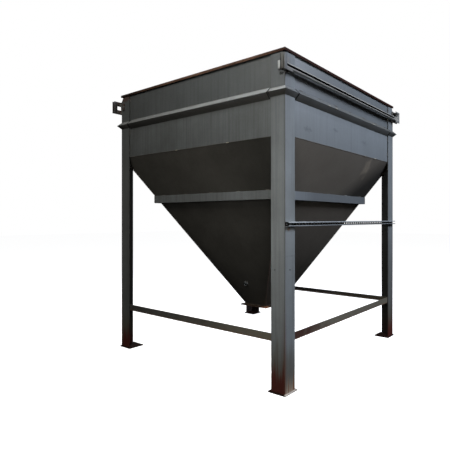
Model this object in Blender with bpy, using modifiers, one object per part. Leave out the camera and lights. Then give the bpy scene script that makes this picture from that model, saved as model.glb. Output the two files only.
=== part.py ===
"""Hopper bin: a square steel bin with a pyramid bottom, standing on four angle legs.

Metres, +Z up. The origin is on the floor, under the middle of the plan.
The front (-Y) and the right side (+X) are the two sides that are usually seen.
"""

import math

import bmesh
import bpy
from mathutils import Matrix, Vector

# Gap kept between pieces that touch
GAP = 0.0003

# Plan and heights
HALF = 1.220
TOP = 3.034
CREASE = 2.280
OUTLET_TOP = 0.4758

# Legs and base plates
LEG_WIDTH = 0.152
LEG_THICK = 0.0127
LEG_TOP = 3.000
NIP_REACH = 0.030
NIP_DEPTH = 0.044
PLATE_SIZE = 0.192
PLATE_THICK = 0.012
PLATE_OVERHANG = 0.0125

# Bin walls and cone
WALL_THICK = 0.006
OUTLET_HALF = 0.155

# Rim angle: its flat leg lies on the walls, its shorter leg hangs outside the legs
RIM_FLAT = 0.038
RIM_DROP = 0.025
RIM_THICK = 0.005

# Belt ring, an angle turned with its corner outwards
RING_HEIGHT = 2.664
RING_OUT = 0.040
RING_THICK = 0.006
RING_SIDE_HALF = 1.046
RING_CORNER_START = 1.058

# Stiffener angle round the cone
STIFF_FACE = 0.9475
STIFF_HEIGHT = 0.0889
STIFF_THICK = 0.0064

# Outlet flange
FLANGE_HALF = 0.2055
FLANGE_THICK = 0.012

# Lower braces
BRACE_SIZE = 0.070
BRACE_THICK = 0.006
BRACE_BOTTOM = 0.452
REAR_BRACE_SIZE = 0.050

# Lipped channel used for the rail, the strut and the brackets
CHANNEL = 0.0413
CHANNEL_THICK = 0.0027
CHANNEL_LIP = 0.0095
RAIL_HEIGHT = 2.8556
RAIL_START = -1.2654
RAIL_END = 1.200
STRUT_HEIGHT = 1.496
STRUT_START = -1.220
STRUT_END = 1.205

# Rail-end brackets: a packer on the leg, two arms and an upright. Those on the right have half-depth
# arms, to let the rail in, and a backing plate.
PACKER_THICK = 0.018
BACKING_THICK = 0.006
BRACKET_HEIGHT = 2.883
BRACKET_TALL = 0.138
HALF_ARM = 0.0206
BRACKET_STANDOFF = 0.0457
BRACKET_LAP = 0.042

# Pipe stub on the front cone side
STUB_RADIUS = 0.025
STUB_LENGTH = 0.030
STUB_HEIGHT = 0.770

# The four sides and legs, each a quarter turn on from the one before
SIDES = ("front", "right", "back", "left")
CORNERS = ("front_right", "back_right", "back_left", "front_left")

# Faces worked out from the sizes above
WALL_FACE = HALF - LEG_THICK - GAP
CONE_RUN = (CREASE - OUTLET_TOP) / (WALL_FACE - OUTLET_HALF)
CONE_ANGLE = math.atan(CONE_RUN)
CONE_SIDE_THICK = WALL_THICK / math.sin(CONE_ANGLE)


def clear_scene():
    """Remove everything that a new file holds."""
    for old in list(bpy.data.objects):
        bpy.data.objects.remove(old, do_unlink=True)


def new_collection(name):
    """Make a collection in the scene."""
    collection = bpy.data.collections.new(name)
    bpy.context.scene.collection.children.link(collection)
    return collection


def linear(value):
    """Turn one sRGB channel, 0 to 1, into a linear one."""
    if value <= 0.04045:
        return value / 12.92
    return ((value + 0.055) / 1.055) ** 2.4


def finish(name, colour, metallic, roughness):
    """A Principled material from a hex colour."""
    material = bpy.data.materials.new(name)
    material.use_nodes = True
    shader = material.node_tree.nodes["Principled BSDF"]
    channels = [int(colour[i:i + 2], 16) / 255 for i in (0, 2, 4)]
    shader.inputs["Base Color"].default_value = [linear(c) for c in channels] + [1.0]
    shader.inputs["Metallic"].default_value = metallic
    shader.inputs["Roughness"].default_value = roughness
    return material


def add_part(name, mesh, material):
    """Put a mesh in the bin's collection as one named piece."""
    if not mesh.materials:
        mesh.materials.append(material)
    part = bpy.data.objects.new(name, mesh)
    PARTS.objects.link(part)
    return part


def box_mesh(name, low, high):
    """A box between two corners, from a unit cube."""
    low = Vector(low)
    high = Vector(high)
    size = high - low
    shape = bmesh.new()
    bmesh.ops.create_cube(shape, size=1.0)
    bmesh.ops.scale(shape, vec=size, verts=shape.verts)
    bmesh.ops.translate(shape, vec=(low + high) / 2, verts=shape.verts)
    mesh = bpy.data.meshes.new(name)
    shape.to_mesh(mesh)
    shape.free()
    return mesh


def prism_mesh(name, outline, length, turn):
    """A flat outline drawn as a 2D curve, extruded both ways and turned into place."""
    curve = bpy.data.curves.new(name, "CURVE")
    curve.dimensions = "2D"
    curve.fill_mode = "BOTH"
    curve.extrude = length / 2
    spline = curve.splines.new("POLY")
    spline.points.add(len(outline) - 1)
    for point, (across, up) in zip(spline.points, outline):
        point.co = (across, up, 0.0, 1.0)
    spline.use_cyclic_u = True
    drawn = bpy.data.objects.new(name, curve)
    bpy.context.scene.collection.objects.link(drawn)
    graph = bpy.context.evaluated_depsgraph_get()
    mesh = bpy.data.meshes.new_from_object(drawn.evaluated_get(graph))
    bpy.data.objects.remove(drawn, do_unlink=True)
    shape = bmesh.new()
    shape.from_mesh(mesh)
    bmesh.ops.remove_doubles(shape, verts=shape.verts, dist=0.00001)
    bmesh.ops.transform(shape, matrix=turn, verts=shape.verts)
    bmesh.ops.recalc_face_normals(shape, faces=shape.faces)
    shape.to_mesh(mesh)
    shape.free()
    mesh.name = name
    return mesh


def ring_mesh(name, section):
    """A square ring with mitred corners: a section of (half width, height) points turned in four steps."""
    mesh = bpy.data.meshes.new(name)
    corners = [(width, -width, height) for width, height in section]
    edges = [(i, (i + 1) % len(corners)) for i in range(len(corners))]
    mesh.from_pydata(corners, edges, [])
    drawn = bpy.data.objects.new(name, mesh)
    bpy.context.scene.collection.objects.link(drawn)
    turned = drawn.modifiers.new("Square turn", "SCREW")
    turned.axis = "Z"
    turned.angle = math.tau
    turned.steps = 4
    turned.render_steps = 4
    turned.use_merge_vertices = True
    turned.merge_threshold = 0.00001
    turned.use_smooth_shade = False
    graph = bpy.context.evaluated_depsgraph_get()
    ring = bpy.data.meshes.new_from_object(drawn.evaluated_get(graph))
    bpy.data.objects.remove(drawn, do_unlink=True)
    shape = bmesh.new()
    shape.from_mesh(ring)
    bmesh.ops.recalc_face_normals(shape, faces=shape.faces)
    shape.to_mesh(ring)
    shape.free()
    ring.name = name
    return ring


def add_cutter(name, mesh):
    """Put a mesh among the cutters, which are not built."""
    cutter = bpy.data.objects.new(name, mesh)
    cutter.hide_render = True
    cutter.display_type = "WIRE"
    CUTTERS.objects.link(cutter)
    return cutter


def cut(part, cutter, operation):
    """Give a piece a Boolean with a cutter."""
    modifier = part.modifiers.new(cutter.name, "BOOLEAN")
    modifier.operation = operation
    modifier.solver = "EXACT"
    modifier.object = cutter


def side_turn(side):
    """The turn about Z that takes the front side to side 0 front, 1 right, 2 back, 3 left."""
    return math.radians(90.0 * side)


def add_turned(kind, names, mesh, material):
    """The same mesh four times, turned a quarter each time."""
    made = []
    for side, name in enumerate(names):
        part = add_part(f"{kind}_{name}", mesh, material)
        part.rotation_euler = (0.0, 0.0, side_turn(side))
        made.append(part)
    return made


def legs():
    """Equal angles with the corner outwards, standing on their base plates."""
    inner = HALF - LEG_THICK
    toe = HALF - LEG_WIDTH
    outline = [
        (HALF, -HALF), (HALF, -toe), (inner, -toe), (inner, -inner), (toe, -inner), (toe, -HALF),
    ]
    low = PLATE_THICK + GAP
    turn = Matrix.Translation((0.0, 0.0, (low + LEG_TOP) / 2))
    mesh = prism_mesh("leg", outline, LEG_TOP - low, turn)
    nip_corner(mesh)
    add_turned("leg", CORNERS, mesh, PAINT)


def nip_corner(mesh):
    """Take the top of the leg's outer corner off on a slope."""
    corner = Vector((HALF, -HALF, LEG_TOP - NIP_DEPTH))
    outward = Vector((1.0 / NIP_REACH, -1.0 / NIP_REACH, 1.0 / NIP_DEPTH))
    shape = bmesh.new()
    shape.from_mesh(mesh)
    everything = shape.verts[:] + shape.edges[:] + shape.faces[:]
    bmesh.ops.bisect_plane(shape, geom=everything, plane_co=corner, plane_no=outward, clear_outer=True)
    open_edges = [edge for edge in shape.edges if edge.is_boundary]
    bmesh.ops.holes_fill(shape, edges=open_edges)
    bmesh.ops.recalc_face_normals(shape, faces=shape.faces)
    shape.to_mesh(mesh)
    shape.free()


def base_plates():
    """Square plates on the floor, a little larger than the legs."""
    outer = HALF + PLATE_OVERHANG
    inner = outer - PLATE_SIZE
    mesh = box_mesh("base_plate", (inner, -outer, 0.0), (outer, -inner, PLATE_THICK))
    add_turned("base_plate", CORNERS, mesh, RUSTED)


def skirt_walls():
    """Upright plates behind the leg flanges. Front and back run past the ends of the other two."""
    high = TOP - RIM_THICK - GAP
    inner = WALL_FACE - WALL_THICK
    long_mesh = box_mesh("skirt_wall_long", (-WALL_FACE, -WALL_FACE, CREASE), (WALL_FACE, -inner, high))
    end = inner - GAP
    short_mesh = box_mesh("skirt_wall_short", (-end, -WALL_FACE, CREASE), (end, -inner, high))
    for side, name in enumerate(SIDES):
        mesh = long_mesh if side % 2 == 0 else short_mesh
        part = add_part(f"skirt_wall_{name}", mesh, PAINT)
        part.rotation_euler = (0.0, 0.0, side_turn(side))


def side_wedge():
    """A cutter that keeps the front quarter of a square ring, up to its mitres."""
    reach = 2.0 * HALF
    outline = [(0.0, -2.0 * GAP), (-reach, -reach - 2.0 * GAP), (reach, -reach - 2.0 * GAP)]
    mesh = prism_mesh("front_quarter", outline, 4.0 * TOP, Matrix.Identity(4))
    return add_cutter("front_quarter", mesh)


def cone_sides(wedge):
    """Four sloping plates, mitred to each other along the pyramid's edges."""
    top = CREASE - GAP
    section = [
        (WALL_FACE, top),
        (OUTLET_HALF, OUTLET_TOP),
        (OUTLET_HALF - CONE_SIDE_THICK, OUTLET_TOP),
        (WALL_FACE - CONE_SIDE_THICK, top),
    ]
    for part in add_turned("cone_side", SIDES, ring_mesh("cone_side", section), PAINT):
        cut_quarter(part, wedge)


def cut_quarter(part, wedge):
    """Cut a turned ring down to its own quarter, by turning a copy of the wedge with it."""
    turn = part.rotation_euler.z
    cutter = add_cutter(f"{part.name}_quarter", wedge.data)
    cutter.rotation_euler = (0.0, 0.0, turn)
    cut(part, cutter, "INTERSECT")


def rim_bars(wedge):
    """Angles that cap the walls and hang outside the legs, mitred at the corners."""
    inside = HALF + GAP
    outside = inside + RIM_THICK
    under = TOP - RIM_THICK
    section = [
        (outside, TOP),
        (outside, TOP - RIM_DROP),
        (inside, TOP - RIM_DROP),
        (inside, under),
        (outside - RIM_FLAT, under),
        (outside - RIM_FLAT, TOP),
    ]
    for part in add_turned("rim_bar", SIDES, ring_mesh("rim_bar", section), RUSTED):
        cut_quarter(part, wedge)


def ring_section(seat):
    """The belt ring's angle, cut upright where its toes meet a face at this half width."""
    tip = HALF + RING_OUT
    reach = tip - seat
    inward = RING_THICK * math.sqrt(2.0)
    return [
        (tip, RING_HEIGHT),
        (seat, RING_HEIGHT - reach),
        (seat, RING_HEIGHT - reach + inward),
        (tip - inward, RING_HEIGHT),
        (seat, RING_HEIGHT + reach - inward),
        (seat, RING_HEIGHT + reach),
    ]


def belt_ring():
    """Straight lengths on the walls between the legs, and mitred corners on the legs."""
    low = RING_HEIGHT - 2.0 * RING_OUT - LEG_THICK
    high = RING_HEIGHT + 2.0 * RING_OUT + LEG_THICK
    outer = HALF + 2.0 * RING_OUT
    outline = [(-across, up) for across, up in ring_section(WALL_FACE + GAP)]
    turn = Matrix(((0, 0, 1, 0), (1, 0, 0, 0), (0, 1, 0, 0), (0, 0, 0, 1)))
    side_mesh = prism_mesh("belt_side", outline, 2.0 * RING_SIDE_HALF, turn)
    add_turned("belt_side", SIDES, side_mesh, PAINT)
    corner_mesh = ring_mesh("belt_corner", ring_section(HALF + GAP))
    keep = box_mesh("belt_corner_keep", (RING_CORNER_START, -outer, low), (outer, -RING_CORNER_START, high))
    for part in add_turned("belt_corner", CORNERS, corner_mesh, PAINT):
        cutter = add_cutter(f"{part.name}_keep", keep)
        cutter.rotation_euler = part.rotation_euler
        cut(part, cutter, "INTERSECT")


def cone_width(height):
    """Half the width of the cone's outside at a height."""
    return OUTLET_HALF + (height - OUTLET_TOP) / CONE_RUN


def cone_stiffeners(wedge):
    """Unequal angles round the cone with both toes on it, mitred at the corners."""
    inner = STIFF_FACE - STIFF_THICK
    top = OUTLET_TOP + (inner - GAP - OUTLET_HALF) * CONE_RUN
    bottom = top - STIFF_HEIGHT
    shelf = bottom + STIFF_THICK
    section = [
        (STIFF_FACE, top),
        (STIFF_FACE, bottom),
        (cone_width(shelf) + GAP, bottom),
        (cone_width(shelf) + GAP, shelf),
        (inner, shelf),
        (inner, top),
    ]
    for part in add_turned("cone_stiffener", SIDES, ring_mesh("cone_stiffener", section), PAINT):
        cut_quarter(part, wedge)


def outlet_flange():
    """A square ring plate under the cone, with the outlet's opening through it."""
    high = OUTLET_TOP - GAP
    low = high - FLANGE_THICK
    opening = OUTLET_HALF - CONE_SIDE_THICK
    mesh = box_mesh("outlet_flange", (-FLANGE_HALF, -FLANGE_HALF, low), (FLANGE_HALF, FLANGE_HALF, high))
    part = add_part("outlet_flange", mesh, PAINT)
    hole = box_mesh("outlet_hole", (-opening, -opening, low - 0.01), (opening, opening, high + 0.01))
    cut(part, add_cutter("outlet_hole", hole), "DIFFERENCE")


def angle_outline(size, thick):
    """An angle with its corner at the origin, one leg up and one leg across."""
    return [(0.0, 0.0), (size, 0.0), (size, thick), (thick, thick), (thick, size), (0.0, size)]


def lower_braces():
    """Angles between the legs on the front, right and back, behind the leg flanges."""
    length = 2.0 * (WALL_FACE - BRACE_SIZE - GAP)
    for side, size in ((0, BRACE_SIZE), (1, BRACE_SIZE), (2, REAR_BRACE_SIZE)):
        turn = Matrix(((0, 0, 1, 0), (1, 0, 0, -WALL_FACE), (0, 1, 0, BRACE_BOTTOM), (0, 0, 0, 1)))
        mesh = prism_mesh(f"brace_{SIDES[side]}", angle_outline(size, BRACE_THICK), length, turn)
        part = add_part(f"brace_{SIDES[side]}", mesh, PAINT)
        part.rotation_euler = (0.0, 0.0, side_turn(side))


def channel_outline():
    """A lipped channel with its back on the origin and its open side outwards."""
    half = CHANNEL / 2
    inner = half - CHANNEL_THICK
    lip = half - CHANNEL_LIP
    front = CHANNEL - CHANNEL_THICK
    return [
        (0.0, -half), (CHANNEL, -half), (CHANNEL, -lip), (front, -lip), (front, -inner),
        (CHANNEL_THICK, -inner), (CHANNEL_THICK, inner), (front, inner), (front, lip),
        (CHANNEL, lip), (CHANNEL, half), (0.0, half),
    ]


def side_channel(name, back, start, end, height, material):
    """A length of channel along the right side, with its back at this distance out."""
    turn = Matrix((
        (1, 0, 0, back),
        (0, 0, 1, (start + end) / 2),
        (0, 1, 0, height),
        (0, 0, 0, 1),
    ))
    mesh = prism_mesh(name, channel_outline(), end - start, turn)
    return add_part(name, mesh, material)


def bracket_mesh(name, arm, backed, topped):
    """A front right bracket with arms of this depth, with or without a backing plate and an upper arm."""
    inner = HALF + PACKER_THICK
    outer = inner + CHANNEL
    low = BRACKET_HEIGHT - BRACKET_TALL / 2
    high = BRACKET_HEIGHT + BRACKET_TALL / 2
    start = -HALF + BRACKET_LAP
    gap_end = -HALF - BRACKET_STANDOFF
    end = gap_end - CHANNEL
    thick = CHANNEL_THICK
    past = 0.01
    cuts = {
        "notch": ((inner - past, gap_end, low + arm), (outer + past, start + past, high - arm)),
        "upright_hollow": (
            (inner + thick, end + thick, low - past),
            (outer - thick, gap_end - thick, high + past),
        ),
        "upright_slot": (
            (inner + CHANNEL_LIP, end - past, low - past),
            (outer - CHANNEL_LIP, end + 2.0 * thick, high + past),
        ),
        "top_hollow": (
            (inner + thick, gap_end, high - arm + thick),
            (outer - thick, start + past, high + past),
        ),
        "bottom_hollow": (
            (inner + thick, gap_end, low - past),
            (outer - thick, start + past, low + arm - thick),
        ),
    }
    if not topped:
        cuts["upper_arm"] = (
            (inner - past, gap_end, high - CHANNEL), (outer + past, start + past, high + past),
        )
    joins = {"packer": ((HALF + GAP, start - CHANNEL, low), (inner, start, high))}
    if backed:
        joins["backing"] = ((inner - BACKING_THICK, end, low), (inner, start, high))
    pattern = bpy.data.objects.new(name, box_mesh(name, (inner, end, low), (outer, start, high)))
    PARTS.objects.link(pattern)
    for operation, boxes in (("DIFFERENCE", cuts), ("UNION", joins)):
        for label, (corner, opposite) in boxes.items():
            mesh = box_mesh(f"{name}_{label}", corner, opposite)
            cut(pattern, add_cutter(mesh.name, mesh), operation)
    graph = bpy.context.evaluated_depsgraph_get()
    mesh = bpy.data.meshes.new_from_object(pattern.evaluated_get(graph))
    bpy.data.objects.remove(pattern, do_unlink=True)
    return mesh


def rail_brackets():
    """A frame at each leg: a packer on the leg carries two arms, which hold an upright off it.

    The one at the front right leg has no upper arm, because the rail carries its upright there.
    """
    topless = bracket_mesh("bracket_for_rail_start", HALF_ARM, True, False)
    backed = bracket_mesh("bracket_for_rail_end", HALF_ARM, True, True)
    open_frame = bracket_mesh("bracket_open_frame", CHANNEL, False, True)
    for name, flip_x, flip_y, shape in (
        ("front_right", 1, 1, topless), ("back_right", 1, -1, backed),
        ("back_left", -1, -1, open_frame), ("front_left", -1, 1, open_frame),
    ):
        mesh = shape.copy()
        mesh.transform(Matrix.Diagonal((flip_x, flip_y, 1.0, 1.0)))
        if flip_x * flip_y < 0:
            mesh.flip_normals()
        add_part(f"rail_bracket_{name}", mesh, PAINT)


def cone_stub():
    """A short pipe stub standing square on the front cone side."""
    foot = Vector((0.0, -cone_width(STUB_HEIGHT) - GAP / math.sin(CONE_ANGLE), STUB_HEIGHT))
    outward = Vector((0.0, -math.sin(CONE_ANGLE), -math.cos(CONE_ANGLE)))
    turn = outward.to_track_quat("Z", "Y").to_matrix().to_4x4()
    place = Matrix.Translation(foot) @ turn
    shape = bmesh.new()
    bmesh.ops.create_cone(
        shape, cap_ends=True, segments=24, radius1=STUB_RADIUS, radius2=STUB_RADIUS, depth=STUB_LENGTH,
        matrix=place @ Matrix.Translation((0.0, 0.0, STUB_LENGTH / 2)),
    )
    mesh = bpy.data.meshes.new("cone_stub")
    shape.to_mesh(mesh)
    shape.free()
    add_part("cone_stub", mesh, BARE)


clear_scene()
PARTS = new_collection("hopper_bin")
CUTTERS = new_collection("cutters")
PAINT = finish("grey_paint", "5C6062", 0.0, 0.55)
RUSTED = finish("rusted_steel", "3A2018", 0.0, 0.85)
BARE = finish("galvanised", "A8ADB0", 0.8, 0.45)

quarter = side_wedge()
base_plates()
legs()
skirt_walls()
cone_sides(quarter)
rim_bars(quarter)
belt_ring()
cone_stiffeners(quarter)
outlet_flange()
lower_braces()
rail_back = HALF + PACKER_THICK + GAP
side_channel("top_rail", rail_back, RAIL_START, RAIL_END, RAIL_HEIGHT, PAINT)
side_channel("middle_strut", HALF + GAP, STRUT_START, STRUT_END, STRUT_HEIGHT, BARE)
rail_brackets()
cone_stub()
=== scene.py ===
import math
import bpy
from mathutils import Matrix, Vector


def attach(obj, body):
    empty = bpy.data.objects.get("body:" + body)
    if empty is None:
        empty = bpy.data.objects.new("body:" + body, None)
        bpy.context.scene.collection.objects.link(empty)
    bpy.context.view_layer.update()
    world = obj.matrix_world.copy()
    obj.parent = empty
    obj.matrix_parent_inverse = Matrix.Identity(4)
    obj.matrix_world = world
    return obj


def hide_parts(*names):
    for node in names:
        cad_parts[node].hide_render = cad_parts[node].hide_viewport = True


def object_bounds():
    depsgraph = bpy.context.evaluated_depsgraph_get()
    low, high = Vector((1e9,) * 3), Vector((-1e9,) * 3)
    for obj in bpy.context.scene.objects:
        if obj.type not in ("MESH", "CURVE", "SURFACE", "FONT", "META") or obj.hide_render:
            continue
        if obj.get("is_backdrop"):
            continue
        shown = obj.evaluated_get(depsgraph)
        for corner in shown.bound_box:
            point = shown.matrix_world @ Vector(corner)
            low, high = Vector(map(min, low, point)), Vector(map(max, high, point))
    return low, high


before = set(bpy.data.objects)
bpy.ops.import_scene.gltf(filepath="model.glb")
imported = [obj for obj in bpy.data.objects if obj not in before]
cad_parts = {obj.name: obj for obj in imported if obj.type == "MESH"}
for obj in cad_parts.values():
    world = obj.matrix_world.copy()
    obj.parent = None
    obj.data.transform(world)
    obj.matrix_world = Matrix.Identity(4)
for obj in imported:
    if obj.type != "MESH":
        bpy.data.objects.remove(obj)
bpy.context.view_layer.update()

from types import SimpleNamespace

import bmesh
import bpy
from mathutils import Matrix, Vector

# VIEW
# A level camera at standing height, with the lens shifted off centre so that every upright edge
# stays upright. Its place was fitted to the bin's own edges.
scene = bpy.context.scene
camera = bpy.data.objects.new("camera", bpy.data.cameras.new("camera"))
camera.location = (3.3778, -4.2039, 1.5418)
camera.rotation_euler = (math.radians(90), 0, math.radians(36.8384))
camera.data.sensor_width = 36
camera.data.lens = 33.959
camera.data.shift_x, camera.data.shift_y = (-0.11726, -0.01358)
scene.collection.objects.link(camera)
scene.camera = camera
scene.view_settings.view_transform = "Standard"


# LIGHT AND FLOOR
# The sky is plain white to the camera. As light it is brightest overhead and dark below the
# horizon, as over a yard with dark ground, so that faces that look down stay dark.
def linear(colour):
    """An sRGB hex colour as linear red, green, blue and alpha."""
    channels = [int(colour[i:i + 2], 16) / 255 for i in (0, 2, 4)]
    return [c / 12.92 if c <= 0.04045 else ((c + 0.055) / 1.055) ** 2.4 for c in channels] + [1.0]


def add(tree, kind, links=None, **settings):
    """Add a node. Settings are its attributes. Links are its inputs, each given a value, another
    node's output, or another node for its first output."""
    node = tree.nodes.new(kind)
    for key, value in settings.items():
        setattr(node, key, value)
    for key, value in (links or {}).items():
        if isinstance(value, bpy.types.Node):
            value = value.outputs[0]
        if isinstance(value, bpy.types.NodeSocket):
            tree.links.new(value, node.inputs[key])
        else:
            node.inputs[key].default_value = value
    return node


world = bpy.data.worlds.new("studio")
world.use_nodes = True
scene.world = world
sky = world.node_tree
sky.nodes.clear()
toward = add(sky, "ShaderNodeTexCoord").outputs["Generated"]
up = add(sky, "ShaderNodeSeparateXYZ", {"Vector": toward}).outputs["Z"]
overhead = add(sky, "ShaderNodeMath", {0: up, 1: 0.0}, operation="MAXIMUM")
squared = add(sky, "ShaderNodeMath", {0: overhead, 1: 2.0}, operation="POWER")
glow = add(sky, "ShaderNodeMath", {0: squared, 1: 0.12, 2: 0.035}, operation="MULTIPLY_ADD")
above_ground = add(sky, "ShaderNodeMath", {0: up, 1: 0.0}, operation="GREATER_THAN")
strength = add(sky, "ShaderNodeMath", {0: glow, 1: above_ground}, operation="MULTIPLY")
lit = add(sky, "ShaderNodeBackground", {"Color": linear("FBFCFF"), "Strength": strength})
seen = add(sky, "ShaderNodeBackground", {"Color": linear("FFFFFF"), "Strength": 1.0})
to_camera = add(sky, "ShaderNodeLightPath").outputs["Is Camera Ray"]
mixed = add(sky, "ShaderNodeMixShader", {0: to_camera, 1: lit, 2: seen})
add(sky, "ShaderNodeOutputWorld", {"Surface": mixed})


def softbox(name, place, aim, size, spread, power, colour):
    """A square soft light that faces a point."""
    lamp = bpy.data.lights.new(name, "AREA")
    lamp.shape = "SQUARE"
    lamp.size = size
    lamp.spread = math.radians(spread)
    lamp.energy = power
    lamp.color = colour
    light = bpy.data.objects.new(name, lamp)
    light.location = place
    light.rotation_euler = (Vector(aim) - Vector(place)).to_track_quat("-Z", "Y").to_euler()
    light.visible_camera = False
    scene.collection.objects.link(light)


softbox("front_key", (1.2, -5.5, 6.0), (0.0, -1.2, 2.2), 2.5, 180, 195, (1.03, 1.0, 0.93))
softbox("right_key", (6.0, 1.2, 6.0), (1.2, 0.0, 2.2), 2.5, 180, 530, (0.91, 1.0, 1.17))
softbox("corner_low", (2.3, -3.0, 1.9), (1.2, -1.22, 1.5), 0.8, 90, 7, (1.0, 1.0, 0.98))
softbox("corner_high", (0.95, -4.2, 7.2), (1.05, -1.22, 2.45), 0.5, 40, 5, (0.96, 1.0, 1.06))
softbox("back_fill", (-3.5, 3.0, 5.0), (-1.2, 1.2, 2.0), 3.0, 150, 100, (1.0, 1.0, 1.0))

# The floor throws no light on the bin, and its own glow keeps it pale in the picture.
floor_mesh = bpy.data.meshes.new("floor")
floor_mesh.from_pydata([(-40, -40, 0), (40, -40, 0), (40, 40, 0), (-40, 40, 0)], [], [(0, 1, 2, 3)])
floor = bpy.data.objects.new("floor", floor_mesh)
scene.collection.objects.link(floor)
floor.visible_diffuse = False
floor.visible_glossy = False
pale_floor = bpy.data.materials.new("pale_floor")
pale_floor.use_nodes = True
floor_shader = pale_floor.node_tree.nodes["Principled BSDF"].inputs
floor_shader["Base Color"].default_value = linear("F4F4F4")
floor_shader["Roughness"].default_value = 0.9
floor_shader["Emission Color"].default_value = linear("FFFFFF")
floor_shader["Emission Strength"].default_value = 0.9
floor_mesh.materials.append(pale_floor)
floor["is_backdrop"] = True


# BASE PLATES
# Square 12 mm steel plates, flame cut, welded under the legs and left to rust. They carry dark
# red-brown scale, with pale dust where the near one meets the yard.
CORNERS = ("front_right", "back_right", "back_left", "front_left")


def where(coat, *rules):
    """A mask of 1 where every rule holds. A rule is another mask, or a measure with the values where
    it starts and is full, and if need be how strong it is when full and at the start."""
    mask = None
    for rule in rules:
        if isinstance(rule, tuple):
            measure, start, full, most, least = rule + (1.0, 0.0)[len(rule) - 3:]
            rule = add(coat.tree, "ShaderNodeMapRange", {
                "Value": measure, "From Min": start, "From Max": full, "To Min": least, "To Max": most,
            })
        if mask is not None:
            rule = add(coat.tree, "ShaderNodeMath", {0: mask, 1: rule}, operation="MULTIPLY")
        mask = rule
    return mask


def over(coat, colour, *rules):
    """Lay one more colour over a coat, where the rules hold."""
    top = linear(colour) if isinstance(colour, str) else colour
    mask = where(coat, *rules)
    laid = add(coat.tree, "ShaderNodeMix", {0: mask, 6: coat.colour, 7: top}, data_type="RGBA")
    coat.colour = laid.outputs[2]
    coat.tree.links.new(coat.colour, coat.shader.inputs["Base Color"])


def steel(name, tone, dark, metallic=0.0, rough=(0.45, 0.7), patches=0.35, streaks=0.4, spots=0.0,
          bump=0.15, sheen=0.4):
    """A weathered coat on steel, of a tone and a darker one.

    It has patches 400 mm across, rain streaks 26 mm wide and 800 mm long, a 5 mm mottle, rust spots
    40 mm apart, and fine bumps on dents 300 mm across. The real mottle and streaks are finer: these
    are as coarse as they have to be to show."""
    material = bpy.data.materials.new(name)
    material.use_nodes = True
    tree = material.node_tree
    shader = tree.nodes["Principled BSDF"]
    shader.inputs["Metallic"].default_value = metallic
    shader.inputs["Specular IOR Level"].default_value = sheen
    spot = add(tree, "ShaderNodeTexCoord").outputs["Object"]
    coat = SimpleNamespace(material=material, tree=tree, shader=shader, spot=spot, colour=linear(tone))
    broad = add(tree, "ShaderNodeTexNoise", {
        "Vector": spot, "Scale": 2.6, "Detail": 7.0, "Roughness": 0.62,
    })
    over(coat, dark, (broad, 0.38, 0.66, patches))
    thin = add(tree, "ShaderNodeVectorMath", {0: spot, 1: (38.0, 38.0, 1.25)}, operation="MULTIPLY")
    run = add(tree, "ShaderNodeTexNoise", {"Vector": thin, "Scale": 1.0, "Detail": 3.0})
    over(coat, dark, (run, 0.45, 0.7, streaks))
    fine = add(tree, "ShaderNodeTexNoise", {"Vector": spot, "Scale": 190.0, "Detail": 4.0})
    over(coat, dark, (fine, 0.35, 0.7, 0.18))
    if spots:
        flecks = add(tree, "ShaderNodeTexNoise", {
            "Vector": spot, "Scale": 24.0, "Detail": 9.0, "Roughness": 0.7,
        })
        over(coat, "4A2D1E", (flecks, 0.69, 0.74, spots))
    dull = where(coat, (fine, 0.3, 0.7, rough[1], rough[0]))
    dents = add(tree, "ShaderNodeTexNoise", {"Vector": spot, "Scale": 3.2, "Detail": 1.0})
    relief = add(tree, "ShaderNodeMath", {0: dents, 1: 9.0, 2: fine}, operation="MULTIPLY_ADD")
    raised = add(tree, "ShaderNodeBump", {"Height": relief, "Strength": bump, "Distance": 0.002})
    tree.links.new(dull.outputs["Result"], shader.inputs["Roughness"])
    tree.links.new(raised.outputs["Normal"], shader.inputs["Normal"])
    return coat


def place_of(coat):
    """The X, Y and Z of a spot on a coat, in metres."""
    return add(coat.tree, "ShaderNodeSeparateXYZ", {"Vector": coat.spot}).outputs


def piece(name, mesh, slot, coats, *nodes):
    """Put a finished mesh in the scene: round parts smooth, riding on the bin, in place of its nodes."""
    for coat in coats:
        mesh.materials.append(coat.material)
    mesh.name = name
    mesh.shade_smooth()
    mesh.set_sharp_from_angle(angle=math.radians(32))
    made = bpy.data.objects.new(name, mesh)
    scene.collection.objects.link(made)
    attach(made, "root")
    if nodes:
        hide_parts(*nodes)


def eased(node, width):
    """A CAD node's mesh, merged into whole faces and given small rounded edges."""
    shape = bmesh.new()
    shape.from_mesh(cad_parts[node].data)
    bmesh.ops.remove_doubles(shape, verts=shape.verts, dist=0.00001)
    bmesh.ops.dissolve_limit(
        shape, angle_limit=math.radians(0.5), verts=shape.verts, edges=shape.edges,
    )
    bmesh.ops.recalc_face_normals(shape, faces=shape.faces)
    sharp = [edge for edge in shape.edges if edge.calc_face_angle(0.0) > math.radians(20)]
    bmesh.ops.bevel(
        shape, geom=sharp, offset=width, segments=2, profile=0.5, affect="EDGES", clamp_overlap=True,
    )
    mesh = bpy.data.meshes.new(node)
    shape.to_mesh(mesh)
    shape.free()
    return mesh


def dress(nodes, width, slot, coat):
    """Finish CAD nodes with eased edges and a coat."""
    for node in nodes:
        piece(f"{node}_dressed", eased(node, width), slot, [coat], node)


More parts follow.
